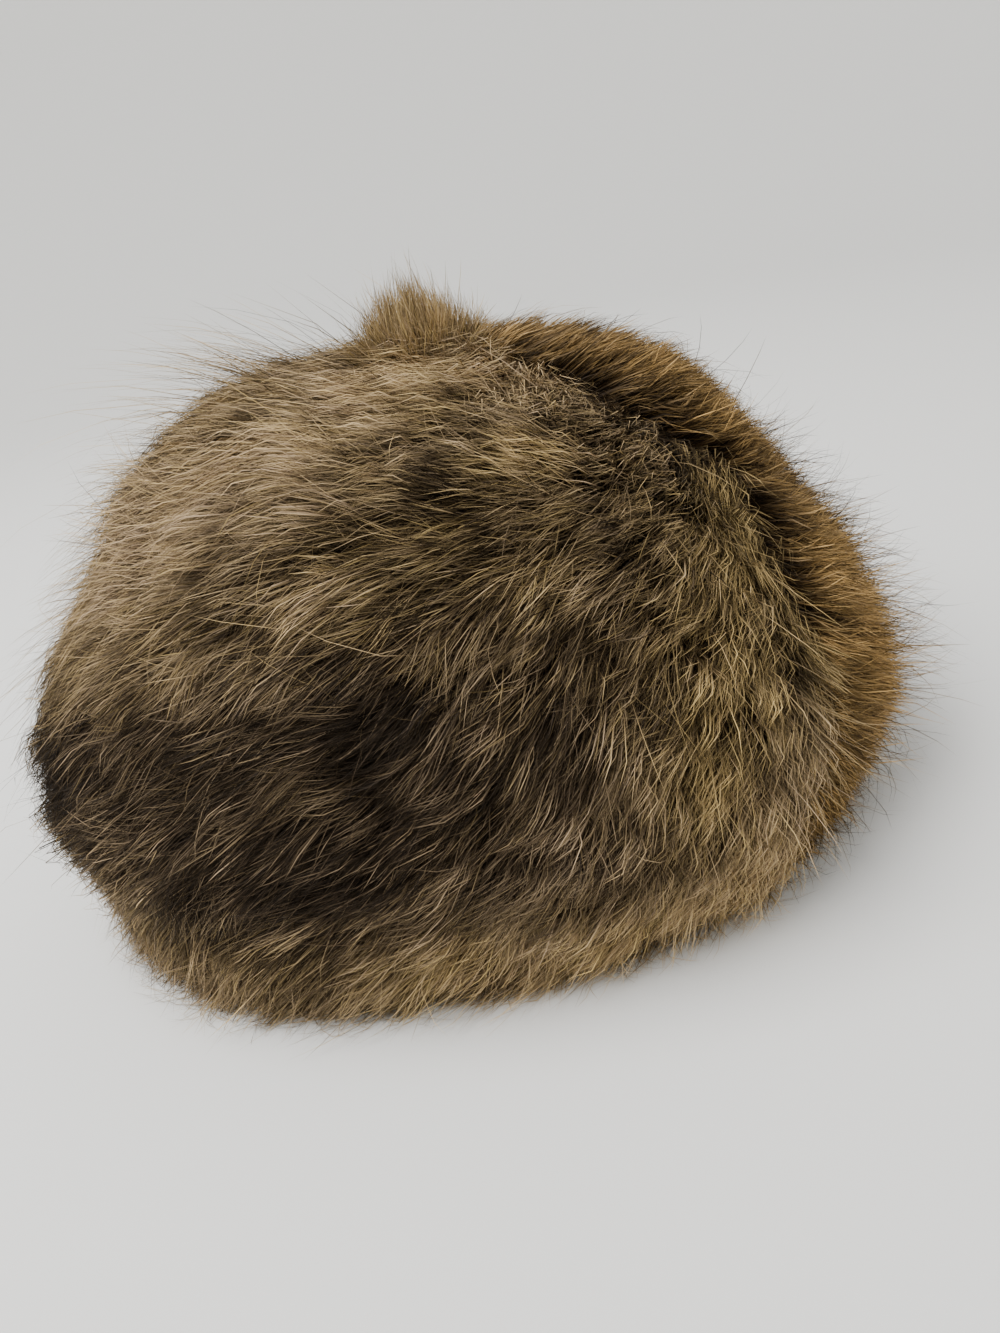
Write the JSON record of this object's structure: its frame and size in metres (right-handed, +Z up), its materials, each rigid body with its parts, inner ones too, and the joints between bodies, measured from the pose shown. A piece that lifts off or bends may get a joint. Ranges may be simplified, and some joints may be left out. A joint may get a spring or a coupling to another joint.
{
  "type": "fur hat",
  "caption": "Rounded winter hat of deep, shaggy fur on a sewn leather skin, open below for the head, with a seam over the crown and a small tuft on top.",
  "frame": {"origin": "centre of the hat's bounding box on the plane that its rim rests on", "axes": "+Z up from the rim to the crown, -Y to the front of the hat as worn, -X to the wearer's right"},
  "size_m": [0.2134, 0.2514, 0.149],
  "materials": {
    "skin_leather": "matt undyed suede, the flesh side of the pelts",
    "fur_brown": "deep grizzled brown fur with dark roots, tan bands and dark tips",
    "fur_golden": "deep golden brown fur with cream underfur and dark tips"
  },
  "bodies": {
    "root": {"leather_skin": "skin_leather", "fur_right": "fur_brown", "fur_left": "fur_golden"}
  },
  "joints": []
}
